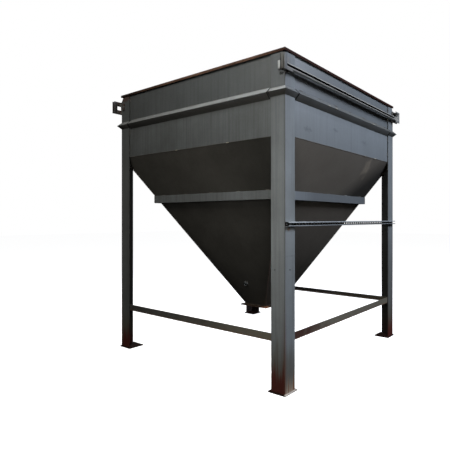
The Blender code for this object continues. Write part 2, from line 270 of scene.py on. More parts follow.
# Rolled plate under scale and rust: near black, dead dull and gritty. The dust lies in 33 mm drifts,
# on the near plate's right edge only.
plate_rust = steel(
    "rust_scale_on_plate", "2E1A12", "140A07", rough=(0.75, 0.95), patches=0.6, streaks=0.0, bump=0.5,
    sheen=0.1,
)
at = place_of(plate_rust)
grit = add(plate_rust.tree, "ShaderNodeTexNoise", {"Vector": plate_rust.spot, "Scale": 30.0, "Detail": 5.0})
over(plate_rust, "B9B0A4", (at["X"], 1.214, 1.224, 1.9), (at["Y"], -1.0, -1.06), grit)
dress([f"base_plate_{corner}" for corner in CORNERS], 0.0015, "rusted_steel", plate_rust)


# LEGS
# Rolled 152 mm equal angles, 12.7 mm thick, with a sharp heel, round toes and a filleted root.
# Each stands on its base plate, welded all round, and is stitched to the walls along its toes.
HALF = 1.220  # from the bin's middle to the legs' outer faces
FLANGE = 0.152
FLANGE_THICK = 0.0127
FOOT = 0.0123  # a leg stands just above its plate, and the weld closes the gap
LEG_TOP = 3.0
SPLICE = 1.215


def rolled(wide, tall, thick):
    """The outline of a rolled angle, from its heel at the origin."""
    toe = 0.5 * thick
    root = 0.9 * thick
    points = [(0.0, 0.0), (wide, 0.0)]
    for centre, radius, first, last in (
        ((wide - toe, thick - toe), toe, 0, 90),
        ((thick + root, thick + root), root, 270, 180),
        ((thick - toe, tall - toe), toe, 0, 90),
    ):
        for step in range(5):
            turn = math.radians(first + (last - first) * step / 4)
            points.append((centre[0] + radius * math.cos(turn), centre[1] + radius * math.sin(turn)))
    points.append((0.0, tall))
    return points


def bar(outline, length, place):
    """A bmesh prism of an outline, from 0 to its length along Z, then put in place by a matrix."""
    shape = bmesh.new()
    end = shape.faces.new([shape.verts.new((across, deep, 0.0)) for across, deep in outline])
    drawn = bmesh.ops.extrude_face_region(shape, geom=[end])["geom"]
    far_end = [part for part in drawn if isinstance(part, bmesh.types.BMVert)]
    bmesh.ops.translate(shape, vec=(0.0, 0.0, length), verts=far_end)
    bmesh.ops.transform(shape, matrix=place, verts=shape.verts)
    bmesh.ops.recalc_face_normals(shape, faces=shape.faces)
    return shape


def meshed(shape, name):
    """Turn a bmesh into a mesh."""
    mesh = bpy.data.meshes.new(name)
    shape.to_mesh(mesh)
    shape.free()
    return mesh


def drilled(mesh, place, aim, radius):
    """Drill one round hole through a mesh, at a place and along an axis."""
    along = Matrix.Translation(place) @ Vector(aim).to_track_quat("Z", "Y").to_matrix().to_4x4()
    shape = bmesh.new()
    bmesh.ops.create_cone(
        shape, cap_ends=True, segments=20, radius1=radius, radius2=radius, depth=0.06, matrix=along,
    )
    bit = bpy.data.objects.new("drill", meshed(shape, "drill"))
    work = bpy.data.objects.new("work", mesh)
    for made in (bit, work):
        scene.collection.objects.link(made)
    hole = work.modifiers.new("hole", "BOOLEAN")
    hole.solver = "EXACT"
    hole.object = bit
    graph = bpy.context.evaluated_depsgraph_get()
    result = bpy.data.meshes.new_from_object(work.evaluated_get(graph))
    for made in (bit, work):
        bpy.data.objects.remove(made, do_unlink=True)
    return result


def away(coat, value, middle):
    """How far a value is from a middle, on either side."""
    shifted = add(coat.tree, "ShaderNodeMath", {0: value, 1: middle}, operation="SUBTRACT")
    return add(coat.tree, "ShaderNodeMath", {0: shifted}, operation="ABSOLUTE")


def stain_and_shadow(coat, place, size):
    """The rule for a ragged patch round a place, for stains and painted shadows. Its size is half
    its width along X, Y and Z.
    """
    tree = coat.tree
    moved = add(tree, "ShaderNodeVectorMath", {0: coat.spot, 1: place}, operation="SUBTRACT")
    moved = add(tree, "ShaderNodeVectorMath", {0: moved, 1: size}, operation="DIVIDE")
    apart = add(tree, "ShaderNodeVectorMath", {0: moved}, operation="LENGTH").outputs["Value"]
    ragged = add(tree, "ShaderNodeTexNoise", {"Vector": coat.spot, "Scale": 1.0 / min(size), "Detail": 6.0})
    ragged = add(tree, "ShaderNodeMath", {0: ragged, 1: 2.6, 2: apart}, operation="MULTIPLY_ADD")
    return ragged, 2.3, 1.5


# Sprayed enamel gone chalky: an even mid grey with a faint sheen. It carries painted shade inside the
# angles and on the left legs, is darker and browner low on the back ones, and has painted shade at the top.
leg_paint = steel(
    "grey_leg_paint", "717576", "4A4C4B", rough=(0.5, 0.72), patches=0.35, streaks=0.35, spots=0.3,
)
tree, spot = leg_paint.tree, leg_paint.spot
at = place_of(leg_paint)
out_x, out_y = away(leg_paint, at["X"], 0.0), away(leg_paint, at["Y"], 0.0)
outward = add(tree, "ShaderNodeMath", {0: out_x, 1: out_y}, operation="MAXIMUM")
inside = where(leg_paint, (outward, HALF - 0.004, HALF - 0.012, 0.75))
west = where(leg_paint, (at["X"], 0.5, -0.5, 0.6))
north = where(leg_paint, (at["Y"], -0.5, 0.5))
# Painted shade inside the angles and on the left legs, darker low on the back legs, painted shade at the top.
over(leg_paint, "3E3F3B", add(tree, "ShaderNodeMath", {0: inside, 1: west}, operation="MAXIMUM"))
over(leg_paint, "443F38", (at["Z"], 1.5, 0.3, 0.7), north)
over(leg_paint, "45484A", (at["Z"], 2.15, 2.75, 0.35))
# Rust climbs in streaks 14 mm wide: olive stain first, then dark red on the front faces and tan on
# the near leg's right face.
streak = add(tree, "ShaderNodeVectorMath", {0: spot, 1: (70.0, 70.0, 3.0)}, operation="MULTIPLY")
streak = add(tree, "ShaderNodeTexNoise", {"Vector": streak, "Scale": 1.0, "Detail": 4.0})
level = add(tree, "ShaderNodeMath", {0: streak, 1: 0.45, 2: at["Z"]}, operation="MULTIPLY_ADD")
over(leg_paint, "4C4636", (level, 0.68, 0.52, 0.55))
side_face = where(leg_paint, (out_x, HALF - 0.0006, HALF - 0.0003), (at["Y"], 0.5, -0.5))
level = add(tree, "ShaderNodeMath", {0: side_face, 1: 0.11, 2: level}, operation="MULTIPLY_ADD")
tan = add(tree, "ShaderNodeMix", {
    0: where(leg_paint, (streak, 0.4, 0.58)), 6: linear("66432B"), 7: linear("B09C86"),
}, data_type="RGBA").outputs[2]
rust = add(tree, "ShaderNodeMix", {0: side_face, 6: linear("4A1A12"), 7: tan}, data_type="RGBA").outputs[2]
over(leg_paint, rust, (level, 0.50, 0.36, 0.95))
# The heel is painted darker all the way up, and bleeds rust near the foot.
sides = add(tree, "ShaderNodeMath", {0: out_x, 1: out_y}, operation="ADD")
from_heel = add(tree, "ShaderNodeMath", {0: 2.0 * HALF, 1: sides}, operation="SUBTRACT")
over(leg_paint, "2E2622", (from_heel, 0.007, 0.002, 0.85))
over(leg_paint, "5A3222", (from_heel, 0.03, 0.004), streak, (at["Z"], 0.85, 0.25))
# Rust from the rim with a 60 mm ragged edge, painted shade inside the back legs, a painted shadow
# under the near bracket and a run of rust below the strut.
rough_edge = add(tree, "ShaderNodeTexNoise", {"Vector": spot, "Scale": 16.0, "Detail": 6.0})
capped = add(tree, "ShaderNodeMath", {0: rough_edge, 1: -0.09, 2: at["Z"]}, operation="MULTIPLY_ADD")
over(leg_paint, "4A2C1E", (capped, 2.900, 2.925), west)
over(leg_paint, "2C2D2C", north, inside)
over(leg_paint, "0E0D0C", stain_and_shadow(leg_paint, (1.190, -1.220, 2.817), (0.045, 0.02, 0.020)))
over(leg_paint, "5E4A3A", stain_and_shadow(leg_paint, (1.220, -1.158, 1.452), (0.02, 0.030, 0.022)))

# Unused 14 mm bolt holes in the flanges, by leg: where each is and the way it runs.
SPARE_HOLES = {
    "front_right": (((1.110, -1.2137, 1.0905), (0, 1, 0)), ((1.2137, -1.144, 1.091), (1, 0, 0))),
    "back_right": (((1.2137, 1.129, 1.187), (1, 0, 0)),),
}
for side, corner in enumerate(CORNERS):
    place = Matrix(((-1, 0, 0, HALF), (0, 1, 0, -HALF), (0, 0, 1, FOOT), (0, 0, 0, 1)))
    shape = bar(rolled(FLANGE, FLANGE, FLANGE_THICK), LEG_TOP - FOOT, place)
    # The heel is cut back 30 mm over 44 mm, to clear the rim's corner.
    bmesh.ops.bisect_plane(
        shape, geom=shape.verts[:] + shape.edges[:] + shape.faces[:], plane_co=(HALF, -HALF, 2.956),
        plane_no=(1 / 0.030, -1 / 0.030, 1 / 0.044), clear_outer=True,
    )
    bmesh.ops.holes_fill(shape, edges=[edge for edge in shape.edges if edge.is_boundary])
    bmesh.ops.transform(shape, matrix=Matrix.Rotation(math.radians(90 * side), 4, "Z"), verts=shape.verts)
    bmesh.ops.recalc_face_normals(shape, faces=shape.faces)
    node = f"leg_{corner}"
    mesh = meshed(shape, node)
    for hole, way in SPARE_HOLES.get(corner, ()):
        mesh = drilled(mesh, hole, way, 0.007)
    piece(f"{node}_dressed", mesh, "grey_paint", [leg_paint], node)

# Weld metal under the same paint, rusting at its pinholes: small rough glints along a seam.
weld_paint = steel(
    "painted_weld_bead", "66645F", "3A2A20", rough=(0.5, 0.8), patches=0.5, streaks=0.0, spots=0.8,
)


def new_tree(name, inputs, output):
    """Start a Geometry Nodes tree. It returns the tree, its inputs' identifiers and their sockets."""
    tree = bpy.data.node_groups.new(name, "GeometryNodeTree")
    identifiers = {
        label: tree.interface.new_socket(label, in_out="INPUT", socket_type=f"NodeSocket{kind}").identifier
        for label, kind in inputs.items()
    }
    tree.interface.new_socket(output, in_out="OUTPUT", socket_type="NodeSocketGeometry")
    return tree, identifiers, tree.nodes.new("NodeGroupInput").outputs


# A run of weld: round beads set along a line, each a little turned and uneven, as a hand-held
# electrode leaves them.
weld_tree, weld_inputs, asked = new_tree(
    "weld_run", {"Runs": "Geometry", "Bead": "Float", "Seed": "Int", "Finish": "Material"}, "Welds",
)
lines = add(weld_tree, "GeometryNodeMeshToCurve", {"Mesh": asked["Runs"]})
pitch = add(weld_tree, "ShaderNodeMath", {0: asked["Bead"], 1: 1.3}, operation="MULTIPLY")
spaced = add(weld_tree, "GeometryNodeResampleCurve", {"Curve": lines, "Length": pitch}, mode="LENGTH")
along = add(weld_tree, "GeometryNodeInputTangent")
aimed = add(weld_tree, "FunctionNodeAlignRotationToVector", {"Vector": along}, axis="X")
uneven = add(weld_tree, "FunctionNodeRandomValue", {
    0: (0.9, 0.75, 0.75), 1: (1.15, 1.15, 1.15), "Seed": asked["Seed"],
}, data_type="FLOAT_VECTOR")
sized = add(weld_tree, "ShaderNodeVectorMath", {0: uneven, "Scale": asked["Bead"]}, operation="SCALE")
bead = add(weld_tree, "GeometryNodeMeshIcoSphere", {"Radius": 1.0, "Subdivisions": 1})
placed = add(weld_tree, "GeometryNodeInstanceOnPoints", {
    "Points": spaced, "Instance": bead, "Rotation": aimed, "Scale": sized,
})
real = add(weld_tree, "GeometryNodeRealizeInstances", {"Geometry": placed})
coated = add(weld_tree, "GeometryNodeSetMaterial", {"Geometry": real, "Material": asked["Finish"]})
add(weld_tree, "NodeGroupOutput", {"Welds": coated})


def grown(name, mesh, tree, values):
    """Run a Geometry Nodes tree on a mesh, with its inputs set first, and return the plain mesh."""
    source = bpy.data.objects.new(name, mesh)
    scene.collection.objects.link(source)
    modifier = source.modifiers.new(name, "NODES")
    modifier.node_group = tree
    for identifier, value in values.items():
        modifier[identifier] = value
    source.update_tag()
    graph = bpy.context.evaluated_depsgraph_get()
    result = bpy.data.meshes.new_from_object(source.evaluated_get(graph))
    bpy.data.objects.remove(source, do_unlink=True)
    # A boolean can leave an empty material slot in front.
    while result.materials and result.materials[0] is None:
        result.materials.pop(index=0)
    return result


def weld(name, runs, bead, seed, coat):
    """Lay weld beads of a radius along straight runs, given as pairs of end points."""
    points = [point for run in runs for point in run]
    mesh = bpy.data.meshes.new(name)
    mesh.from_pydata(points, [(2 * i, 2 * i + 1) for i in range(len(runs))], [])
    laid = grown(name, mesh, weld_tree, {
        weld_inputs["Bead"]: bead, weld_inputs["Seed"]: seed, weld_inputs["Finish"]: coat.material,
    })
    piece(name, laid, "grey_paint", [])


def all_round(runs):
    """Repeat runs given for the front side, or the front right corner, on all four."""
    return [
        [Matrix.Rotation(math.radians(90 * side), 3, "Z") @ Vector(point) for point in run]
        for side in range(4) for run in runs
    ]


# Fillets round each foot, and stitches that hold the flange toes to the walls.
TOE = HALF - FLANGE
INNER = HALF - FLANGE_THICK
BEAD_HEIGHT = 0.0125
weld("foot_welds", all_round([
    [(TOE, -HALF, BEAD_HEIGHT), (HALF, -HALF, BEAD_HEIGHT)],
    [(HALF, -HALF, BEAD_HEIGHT), (HALF, -TOE, BEAD_HEIGHT)],
    [(TOE, -INNER, BEAD_HEIGHT), (INNER, -INNER, BEAD_HEIGHT)],
    [(INNER, -INNER, BEAD_HEIGHT), (INNER, -TOE, BEAD_HEIGHT)],
]), 0.0050, 3, plate_rust)
stitches = []
for low, high in ((2.922, 2.980), (2.815, 2.850), (2.548, 2.590), (2.365, 2.410), (2.285, 2.300)):
    stitches.append([(TOE - 0.001, -INNER - 0.002, low), (TOE - 0.001, -INNER - 0.002, high)])
    stitches.append([(INNER + 0.002, -TOE + 0.001, low), (INNER + 0.002, -TOE + 0.001, high)])
weld("toe_stitches", all_round(stitches), 0.0045, 11, weld_paint)

# The near leg is spliced below half its height, and the seam is ground nearly flush.
weld("leg_splices", [
    [(HALF - 0.150, -HALF - 0.0002, SPLICE), (HALF - 0.002, -HALF - 0.0002, SPLICE)],
    [(HALF + 0.0002, -HALF + 0.002, SPLICE), (HALF + 0.0002, -HALF + 0.150, SPLICE)],
], 0.0016, 41, leg_paint)


# LOWER BRACES
# Angles between the legs, set back behind their flanges and welded at the ends: 70 mm on the front
# and right, 50 mm on the back.
SIDES = ("front", "right", "back", "left")
BRACE = 0.070
BRACE_FOOT = 0.452
BRACE_FACE = 1.2070  # just inside the leg flanges

# Grey paint worn through to rust, in 110 mm blots, most of all on the right brace next to the front
# leg: drab brown-grey with a dark red end and an orange lower edge.
brace_paint = steel(
    "worn_brace_paint", "514F4A", "26221E", rough=(0.6, 0.85), patches=0.6, streaks=0.2, spots=0.8,
)
tree, spot = brace_paint.tree, brace_paint.spot
at = place_of(brace_paint)
blot = add(tree, "ShaderNodeTexNoise", {"Vector": spot, "Scale": 9.0, "Detail": 7.0, "Roughness": 0.65})
near = add(tree, "ShaderNodeVectorMath", {0: spot, 1: (1.2, -1.2, 0.45)}, operation="DISTANCE")
near = add(tree, "ShaderNodeMath", {0: blot, 1: -0.9, 2: near.outputs["Value"]}, operation="MULTIPLY_ADD")
over(brace_paint, "6E6757", (at["X"], -0.3, 0.9, 0.6))
over(brace_paint, "361307", (near, 0.35, -0.15, 0.9), (at["X"], 1.1370, 1.1372))
over(brace_paint, "6A4630", (at["Z"], BRACE_FOOT + 0.018, BRACE_FOOT), blot)
half = BRACE_FACE - BRACE - 0.0006
for side, size in ((0, BRACE), (1, BRACE), (2, 0.050)):
    place = Matrix(((0, 0, 1, -half), (1, 0, 0, -BRACE_FACE), (0, 1, 0, BRACE_FOOT), (0, 0, 0, 1)))
    place = Matrix.Rotation(math.radians(90 * side), 4, "Z") @ place
    node = f"brace_{SIDES[side]}"
    mesh = meshed(bar(rolled(size, size, 0.006), 2.0 * half, place), node)
    piece(f"{node}_dressed", mesh, "grey_paint", [brace_paint], node)


# SKIRT WALLS
# 6 mm plates lapped inside the leg flanges. Dark grey paint with rain streaks and old rust spots
# outside, bare scoured steel inside.
CREASE = 2.28  # the height where skirt and cone meet
WALL_FACE = 1.2067


def facing(coat):
    """The X, Y and Z of the way a coat's surface faces."""
    normal = add(coat.tree, "ShaderNodeNewGeometry").outputs["Normal"]
    return add(coat.tree, "ShaderNodeSeparateXYZ", {"Vector": normal}).outputs


def two_faced(mesh):
    """Give the second material to the faces that look towards the middle of the bin."""
    for face in mesh.polygons:
        inward = Vector((0.0, 0.0, 2.6)) - face.center
        inward.z = min(inward.z, 0.0) if face.center.z > CREASE else inward.z
        if face.normal.dot(inward.normalized()) > 0.3 and abs(face.normal.z) < 0.9:
            face.material_index = 1
    return mesh


# The same enamel, darker: blue-grey with a soft sheen. The right side is painted paler as lit, the top
# has painted shade, two seams show on the right and the right stiffener is darker away from the near leg.
skirt_paint = steel(
    "dark_grey_plate_paint", "636667", "41433F", rough=(0.42, 0.66), patches=0.45, streaks=0.45, spots=0.35,
)
at = place_of(skirt_paint)
face = facing(skirt_paint)
# Painted light on the right-facing faces; painted shade at the top, deepest on the right near the front.
right = where(skirt_paint, (face["X"], 0.5, 0.9, 0.45))
over(skirt_paint, "7D8286", right)
painted_top_shade = where(skirt_paint, (at["Z"], 2.55, 2.75, 0.5))
over(skirt_paint, "3C3F40", painted_top_shade)
over(skirt_paint, "2A2D30", (at["Y"], 0.6, -0.9, 2.1, 0.4), right, painted_top_shade)
for middle, reach, strong in ((0.057, 0.0035, 0.5), (-0.477, 0.0030, 0.35)):
    over(skirt_paint, "2A2B2C", (away(skirt_paint, at["Y"], middle), reach * 2, reach, strong), right)
over(skirt_paint, "45484A", (at["Z"], 2.0, 1.9), (at["Y"], -0.75, -0.3, 1.6), right)
# A painted shadow lies along the wall behind the rail, and three dull blotches below the ring.
over(skirt_paint, "1A1B1C", stain_and_shadow(skirt_paint, (1.2065, 0.0, 2.836), (0.05, 3.0, 0.030)))
for blotch_y, blotch_z, long, tall in (
    (-0.839, 2.388, 0.080, 0.030), (-0.302, 2.463, 0.070, 0.022), (0.378, 2.430, 0.090, 0.028),
):
    over(skirt_paint, "5B5F62", stain_and_shadow(skirt_paint, (WALL_FACE, blotch_y, blotch_z), (0.05, long, tall)))

# Bare plate scoured by sliding stone: brown-grey with a dull gleam and long run marks.
scoured = steel(
    "scoured_bare_steel", "6A6460", "33251D", metallic=0.6, rough=(0.4, 0.75), patches=0.8, streaks=0.7,
    spots=0.6,
)
for side in SIDES:
    node = f"skirt_wall_{side}"
    piece(f"{node}_dressed", two_faced(eased(node, 0.0008)), "grey_paint", [skirt_paint, scoured], node)


# CONE
# Four 6 mm plates at about 60 degrees, mitred and welded along the hips. The same paint, browner
# with dust because rain never washes it.

# Enamel under fine dust: a flat dark brown-grey, nearly without streaks. The right side is painted
# paler as lit, and painted shade darkens it near the front leg and low at the back of the right side,
# which also has a pale scrape and a dusty smear.
cone_paint = steel(
    "cone_paint_dust_and_painted_light", "56544F", "35332E", rough=(0.5, 0.75), patches=0.4, streaks=0.15, spots=0.3,
)
at = place_of(cone_paint)
face = facing(cone_paint)
# Painted light on the right-facing faces; painted shade near the front leg and low at the back on the right.
right = where(cone_paint, (face["X"], 0.3, 0.7, 0.42))
over(cone_paint, "70665A", right)
over(cone_paint, "24231F", (at["X"], 0.2, 0.9, 0.75), (face["Y"], -0.3, -0.7))
over(cone_paint, "9A9894", stain_and_shadow(cone_paint, (0.864, -0.470, 1.552), (0.03, 0.012, 0.055)))
over(cone_paint, "7B7265", stain_and_shadow(cone_paint, (1.150, 0.600, 2.160), (0.20, 0.09, 0.16)))
low_back = add(cone_paint.tree, "ShaderNodeMath", {0: at["Z"], 1: -1.5, 2: at["Y"]}, operation="MULTIPLY_ADD")
over(cone_paint, "0D0D0C", (low_back, -2.58, -2.15, 2.0), (at["Z"], 1.78, 1.82), right)
for side in SIDES:
    node = f"cone_side_{side}"
    piece(f"{node}_dressed", two_faced(eased(node, 0.0006)), "grey_paint", [cone_paint, scoured], node)

# The hip welds run down the mitres and the crease weld joins cone and skirt. Both were ground a
# little and painted over, and the hips have begun to rust: brown, rough and speckled.
hip_rust = steel(
    "rusting_hip_weld", "4A4038", "3A2014", rough=(0.6, 0.85), patches=0.8, streaks=0.0, spots=0.8,
)
weld("hip_welds", all_round([[(1.2055, -1.2055, 2.272), (0.1565, -0.1565, 0.482)]]), 0.0042, 5, hip_rust)
weld("crease_welds", all_round([
    [(-1.066, -1.2068, 2.2795), (1.066, -1.2068, 2.2795)],
]), 0.0030, 7, cone_paint)

# A few tacks knocked bare: pale, slightly bright spots along the crease.
tack_steel = steel(
    "bare_weld_tack", "A39E92", "7A6C56", metallic=0.3, rough=(0.4, 0.7), patches=0.6, streaks=0.0,
)
TACK_FACE, TACK_HEIGHT = 1.2090, 2.2790
weld("crease_tacks", [
    [(TACK_FACE, 0.668, TACK_HEIGHT), (TACK_FACE, 0.704, TACK_HEIGHT)],
    [(TACK_FACE, 0.392, TACK_HEIGHT), (TACK_FACE, 0.412, TACK_HEIGHT)],
    [(-0.240, -TACK_FACE, TACK_HEIGHT), (-0.212, -TACK_FACE, TACK_HEIGHT)],
    [(0.512, -TACK_FACE, TACK_HEIGHT), (0.536, -TACK_FACE, TACK_HEIGHT)],
], 0.0055, 43, tack_steel)


# OUTLET FLANGE
# A 12 mm flame-cut square ring plate with twelve bolt holes for a gate or chute. Painted once and
# rusting through in 40 mm blots: dark and dull all over, orange-brown at its near corner.
flange_rust = steel(
    "rusting_flange_paint", "3A2E26", "1E1410", rough=(0.65, 0.9), patches=0.8, streaks=0.0, spots=0.6,
    bump=0.4, sheen=0.15,
)
tree, spot = flange_rust.tree, flange_rust.spot
blot = add(tree, "ShaderNodeTexNoise", {"Vector": spot, "Scale": 26.0, "Detail": 6.0})
near = add(tree, "ShaderNodeVectorMath", {0: spot, 1: (0.2, -0.2, 0.47)}, operation="DISTANCE")
near = add(tree, "ShaderNodeMath", {0: blot, 1: -0.12, 2: near.outputs["Value"]}, operation="MULTIPLY_ADD")
over(flange_rust, "8A5A3A", (near, 0.03, -0.04, 0.9))

# Four by four drill bits on a square, less the inner four.
drill_tree, drill_inputs, asked = new_tree("bolt_holes", {
    "Plate": "Geometry", "Half pitch": "Float", "Hole": "Float", "Height": "Float", "Finish": "Material",
}, "Drilled")
across = add(drill_tree, "ShaderNodeMath", {0: asked["Half pitch"], 1: 2.0}, operation="MULTIPLY")
grid = add(drill_tree, "GeometryNodeMeshGrid", {
    "Size X": across, "Size Y": across, "Vertices X": 4, "Vertices Y": 4,
})
bit_place = add(drill_tree, "GeometryNodeInputPosition")
bit_at = add(drill_tree, "ShaderNodeSeparateXYZ", {"Vector": bit_place}).outputs
far_x = add(drill_tree, "ShaderNodeMath", {0: bit_at["X"]}, operation="ABSOLUTE")
far_y = add(drill_tree, "ShaderNodeMath", {0: bit_at["Y"]}, operation="ABSOLUTE")
farther = add(drill_tree, "ShaderNodeMath", {0: far_x, 1: far_y}, operation="MAXIMUM")
limit = add(drill_tree, "ShaderNodeMath", {0: asked["Half pitch"], 1: 0.9}, operation="MULTIPLY")
outer = add(drill_tree, "ShaderNodeMath", {0: farther, 1: limit}, operation="GREATER_THAN")
drill_bit = add(drill_tree, "GeometryNodeMeshCylinder", {
    "Vertices": 16, "Radius": asked["Hole"], "Depth": 0.05,
})
bits = add(drill_tree, "GeometryNodeInstanceOnPoints", {
    "Points": grid, "Selection": outer, "Instance": drill_bit,
})
lift = add(drill_tree, "ShaderNodeCombineXYZ", {"Z": asked["Height"]})
lifted = add(drill_tree, "GeometryNodeTransform", {"Geometry": bits, "Translation": lift})
real = add(drill_tree, "GeometryNodeRealizeInstances", {"Geometry": lifted})
holed = add(drill_tree, "GeometryNodeMeshBoolean", {
    "Mesh 1": asked["Plate"], "Mesh 2": real,
}, operation="DIFFERENCE", solver="EXACT")
coated = add(drill_tree, "GeometryNodeSetMaterial", {"Geometry": holed, "Material": asked["Finish"]})
add(drill_tree, "NodeGroupOutput", {"Drilled": coated})
plate = grown("outlet_flange", eased("outlet_flange", 0.001), drill_tree, {
    drill_inputs["Half pitch"]: 0.184, drill_inputs["Hole"]: 0.0071, drill_inputs["Height"]: 0.4695,
    drill_inputs["Finish"]: flange_rust.material,
})
piece("outlet_flange_dressed", plate, "grey_paint", [], "outlet_flange")
weld("outlet_welds", all_round([
    [(-0.156, -0.1575, 0.4775), (0.156, -0.1575, 0.4775)],
]), 0.0045, 13, hip_rust)


# CONE COUPLING
# A half coupling of galvanised steel, bored and threaded for a 1 1/4 in pipe, welded square on
# the front cone side with a fillet round its foot.
OUTLET_FACE, OUTLET_HEIGHT = 0.155, 0.4758  # the cone's outer face where it meets the outlet
COUPLING_HEIGHT = 0.770

# Hot-dip zinc gone dull: a cool mid grey with soft metal highlights.
dull_zinc = steel(
    "dull_zinc_coat", "5C6062", "3E4142", metallic=0.3, rough=(0.35, 0.6), patches=0.45, streaks=0.15,
    bump=0.1,
)
steepness = (CREASE - OUTLET_HEIGHT) / (1.207 - OUTLET_FACE)
slope = math.atan(steepness)
foot_reach = OUTLET_FACE + (COUPLING_HEIGHT - OUTLET_HEIGHT) / steepness + 0.0003 / math.sin(slope)
foot_point = Vector((0.0, -foot_reach, COUPLING_HEIGHT))
outward = Vector((0.0, -math.sin(slope), -math.cos(slope)))
square_on = Matrix.Translation(foot_point) @ outward.to_track_quat("Z", "Y").to_matrix().to_4x4()
# Half the coupling's section, as radius and rise: the wall, a rounded mouth, then seven threads.
profile = [(0.025, 0.0), (0.025, 0.028), (0.0235, 0.030), (0.0205, 0.030), (0.0195, 0.0285)]
for turn in range(7):
    profile += [(0.0185, 0.0265 - 0.003 * turn), (0.0195, 0.0250 - 0.003 * turn)]
profile.append((0.0185, 0.0))
shape = bmesh.new()
line = [shape.verts.new((radius, 0.0, rise)) for radius, rise in profile]
for first, second in zip(line, line[1:]):
    shape.edges.new((first, second))
bmesh.ops.spin(
    shape, geom=shape.verts[:] + shape.edges[:], cent=(0, 0, 0), axis=(0, 0, 1), angle=math.tau, steps=32,
)
bmesh.ops.remove_doubles(shape, verts=shape.verts, dist=0.00001)
bmesh.ops.transform(shape, matrix=square_on, verts=shape.verts)
bmesh.ops.recalc_face_normals(shape, faces=shape.faces)
piece("cone_stub_dressed", meshed(shape, "cone_stub"), "galvanised", [dull_zinc], "cone_stub")
ring = [square_on @ Vector((0.0265 * math.cos(a), 0.0265 * math.sin(a), 0.001))
        for a in [math.tau * i / 16 for i in range(16)]]
weld("stub_weld", [[ring[i], ring[(i + 1) % 16]] for i in range(16)], 0.0040, 17, cone_paint)


# CONE STIFFENERS
# 89 x 51 mm angles round the cone, both toes welded to it, mitred at the corners. The stitches on
# top show as bumps along the edge.
STIFFENER_FACE = 0.9475
STIFFENER_FOOT, STIFFENER_TOP = 1.7385, 1.8262
dress([f"cone_stiffener_{side}" for side in SIDES], 0.0012, "grey_paint", skirt_paint)
stitch_line = 0.0063 - STIFFENER_FACE
weld("stiffener_stitches", all_round([
    [(middle - 0.020, stitch_line, STIFFENER_TOP), (middle + 0.020, stitch_line, STIFFENER_TOP)]
    for middle in (-0.78, -0.38, 0.03, 0.425, 0.81)
]), 0.0065, 19, weld_paint)
weld("stiffener_mitres", all_round([[
    (STIFFENER_FACE, -STIFFENER_FACE, STIFFENER_FOOT),
    (STIFFENER_FACE, -STIFFENER_FACE, STIFFENER_TOP - 0.0037),
]]), 0.0035, 23, weld_paint)


# BELT RING
# 75 mm angles turned corner outwards, stitched to the skirt, with mitred corner pieces round the legs
# and narrow slits between, with painted shade in and round them.
SLIT = 1.052  # from the bin's middle to the middle of a slit
RING_TOP = 2.7175  # the upper toe, on the wall
RIDGE, RIDGE_HEIGHT = 1.2600, 2.6655

# The plates' enamel under dust. The upper faces are pale, partly with dust and partly as painted sky
# light; on the right side they carry painted shade instead, and the faces that look down a brown painted
# shade. The pale lies in 90 mm drifts, thinner to the left and up by the wall.
ring_paint = steel(
    "ring_paint_dust_and_painted_light", "5F6161", "3E3F3C", rough=(0.45, 0.7), patches=0.4, streaks=0.2, spots=0.5,
)
tree, spot = ring_paint.tree, ring_paint.spot
face = facing(ring_paint)
at = place_of(ring_paint)
top_face = where(ring_paint, (face["Z"], 0.45, 0.65))
lying = add(tree, "ShaderNodeTexNoise", {"Vector": spot, "Scale": 11.0, "Detail": 6.0})
over(
    ring_paint, "A3A6A6", top_face, (face["X"], 0.6, 0.4), (at["X"], -1.2, 0.2, 1.0, 0.55),
    (lying, 0.25, 0.55, 1.0, 0.75), (at["Z"], 2.705, 2.668, 1.0, 0.5),
)
over(ring_paint, "37322A", (face["Z"], -0.4, -0.65, 0.5))
over(ring_paint, "403C33", (face["X"], 0.5, 0.65), (at["Y"], -1.1, 0.6, 0.5), top_face)
# Painted shade in and round the slits.
along = add(tree, "ShaderNodeMath", {
    0: away(ring_paint, at["X"], 0.0), 1: away(ring_paint, at["Y"], 0.0),
}, operation="MINIMUM")
over(ring_paint, "0C0B0A", (away(ring_paint, along, SLIT), 0.0115, 0.0085, 0.95))
dress(
    [f"belt_side_{side}" for side in SIDES] + [f"belt_corner_{corner}" for corner in CORNERS],
    0.0012, "grey_paint", ring_paint,
)
weld("ring_stitches", all_round([
    [(middle - 0.022, -1.2085, RING_TOP), (middle + 0.022, -1.2085, RING_TOP)]
    for middle in (-0.95, -0.62, -0.3, 0.02, 0.36, 0.7, 0.98)
]), 0.0045, 29, weld_paint)
weld("ridge_tacks", [
    [(RIDGE, start, RIDGE_HEIGHT), (RIDGE, end, RIDGE_HEIGHT)]
    for start, end in ((-0.535, -0.505), (-0.392, -0.364), (0.500, 0.536))
], 0.0050, 47, tack_steel)


# RIM
# Angles along the top edge: the flat leg lies on the walls and the 25 mm leg hangs outside, clear
# of them. Mitred and welded at the corners.

